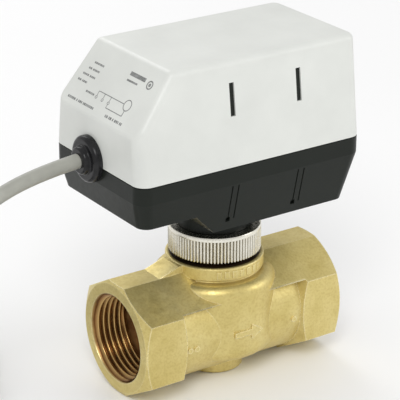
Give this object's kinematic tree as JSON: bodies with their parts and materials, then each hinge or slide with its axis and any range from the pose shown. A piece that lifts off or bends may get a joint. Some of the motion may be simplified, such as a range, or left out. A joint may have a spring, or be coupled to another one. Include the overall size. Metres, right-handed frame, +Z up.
{
  "type": "zone valve",
  "caption": "Motorised zone valve: forged brass body with female threaded ends, knurled union nut, and a plastic actuator with a trailing cable.",
  "frame": {"origin": "centre of the flat boss under the valve body, on the stem axis, where the valve stands", "axes": "+Z up the stem, +X along the pipe from the cable end to the outlet, -Y the front with the flow arrow"},
  "size_m": [0.1801, 0.1045, 0.1299],
  "materials": {
    "forged_brass": "bead-blasted forging",
    "turned_brass": "turned",
    "nickel_plate": "satin nickel plating on brass",
    "stainless_steel": "ground",
    "spring_steel": "oiled",
    "zinc_steel": "bright zinc plating",
    "black_rubber": "moulded",
    "grommet_rubber": "glossy moulding",
    "grey_plastic": "satin light grey",
    "dark_plastic": "fine-grained near-black",
    "bearing_plastic": "satin black acetal",
    "gear_plastic": "natural acetal",
    "sintered_steel": "sintered",
    "copper_winding": "enamelled winding",
    "ferrite": "moulded magnet",
    "board_laminate": "green solder mask",
    "terminal_plastic": "moulded",
    "switch_plastic": "moulded",
    "clamp_plastic": "moulded",
    "sheath_plastic": "extruded warm grey sheath",
    "core_plastic": "insulated cores"
  },
  "bodies": {
    "valve": {"valve_body": "forged_brass", "bonnet_insert": "turned_brass", "bonnet_o_ring": "black_rubber", "gland_nut": "turned_brass", "stem_o_ring": "black_rubber", "return_spring": "stainless_steel"},
    "stem": {"valve_stem": "stainless_steel", "disc_holder": "turned_brass", "disc_seal": "black_rubber", "disc_nut": "turned_brass", "spring_cap": "stainless_steel"},
    "carriage": {"retaining_ring": "spring_steel"},
    "nut": {"coupling_nut": "nickel_plate"},
    "head": {"base_housing": "dark_plastic", "cover": "grey_plastic", "guide_bush": "bearing_plastic", "idler_arbor": "stainless_steel", "motor_end_plate": "zinc_steel", "motor_can": "zinc_steel", "motor_coil": "copper_winding", "rear_gear_plate": "zinc_steel", "front_gear_plate": "zinc_steel", "plate_pillars": "zinc_steel", "pillar_screws": "zinc_steel", "motor_screws": "zinc_steel", "plate_screws": "zinc_steel", "circuit_board": "board_laminate", "board_screws": "zinc_steel", "terminal_block": "terminal_plastic", "terminal_screws": "zinc_steel", "cable_inner": "sheath_plastic", "cable_clamp": "clamp_plastic", "clamp_screws": "zinc_steel", "cable_grommet": "grommet_rubber", "internal_leads": "core_plastic", "motor_leads": "core_plastic", "end_switches": "switch_plastic", "cord_tube": "sheath_plastic", "cord_coil": "sheath_plastic", "cord_tail": "sheath_plastic", "cord_cores": "core_plastic"},
    "cam": {"cam_arbor": "stainless_steel", "plunger_cam": "gear_plastic", "cam_gear": "gear_plastic", "switch_cam": "bearing_plastic"},
    "idler": {"idler_pinion": "gear_plastic", "idler_gear": "gear_plastic"},
    "rotor": {"motor_rotor": "ferrite", "motor_shaft": "stainless_steel", "motor_pinion": "sintered_steel"},
    "plunger": {"plunger": "bearing_plastic", "roller_pin": "stainless_steel"},
    "roller": {"follower_roller": "gear_plastic"},
    "lever_lower": {"switch_lever_lower": "spring_steel"},
    "lever_upper": {"switch_lever_upper": "spring_steel"}
  },
  "joints": [
    {"name": "nut_turn", "type": "hinge", "parent": "carriage", "child": "nut", "pos_m": [0, 0, 0.0535], "axis": [0, 0, 1], "range_deg": [0, 2160]},
    {"name": "head_lift", "type": "slide", "parent": "valve", "child": "carriage", "axis": [0, 0, 1], "range_m": [0, 0.009]},
    {"name": "head_swivel", "type": "hinge", "parent": "carriage", "child": "head", "pos_m": [0, 0, 0.057], "axis": [0, 0, 1], "continuous": true},
    {"name": "rotor_turn", "type": "hinge", "parent": "head", "child": "rotor", "pos_m": [0.018, 0.012, 0.098], "axis": [0, 1, 0], "range_deg": [0, 3600]},
    {"name": "idler_turn", "type": "hinge", "parent": "head", "child": "idler", "pos_m": [0.00598, -0.009, 0.10698], "axis": [0, -1, 0], "range_deg": [0, 900]},
    {"name": "cam_turn", "type": "hinge", "parent": "head", "child": "cam", "pos_m": [0, 0, 0.09], "axis": [0, 1, 0], "range_deg": [0, 180]},
    {"name": "plunger_slide", "type": "slide", "parent": "head", "child": "plunger", "axis": [0, 0, -1], "range_m": [0, 0.004]},
    {"name": "roller_spin", "type": "hinge", "parent": "plunger", "child": "roller", "pos_m": [0, 0, 0.07795], "axis": [0, 1, 0], "continuous": true},
    {"name": "stem_slide", "type": "slide", "parent": "valve", "child": "stem", "axis": [0, 0, -1], "range_m": [0, 0.004], "deforming": ["return_spring"]},
    {"name": "lever_lower_press", "type": "hinge", "parent": "head", "child": "lever_lower", "pos_m": [-0.00875, -0.0112, 0.0824], "axis": [0, -1, 0], "range_deg": [0, 10], "stiffness_Nm_per_rad": 0.01},
    {"name": "lever_upper_press", "type": "hinge", "parent": "head", "child": "lever_upper", "pos_m": [-0.00875, -0.0112, 0.092], "axis": [0, -1, 0], "range_deg": [0, 10], "stiffness_Nm_per_rad": 0.01}
  ],
  "couplings": [
    {"joint": "nut_turn", "follows": "head_lift", "rad_per_m": 4188},
    {"joint": "rotor_turn", "follows": "plunger_slide", "rad_per_m": 15700},
    {"joint": "idler_turn", "follows": "plunger_slide", "rad_per_m": 3925},
    {"joint": "cam_turn", "follows": "plunger_slide", "rad_per_m": 785},
    {"joint": "stem_slide", "follows": "plunger_slide", "ratio": 1}
  ]
}
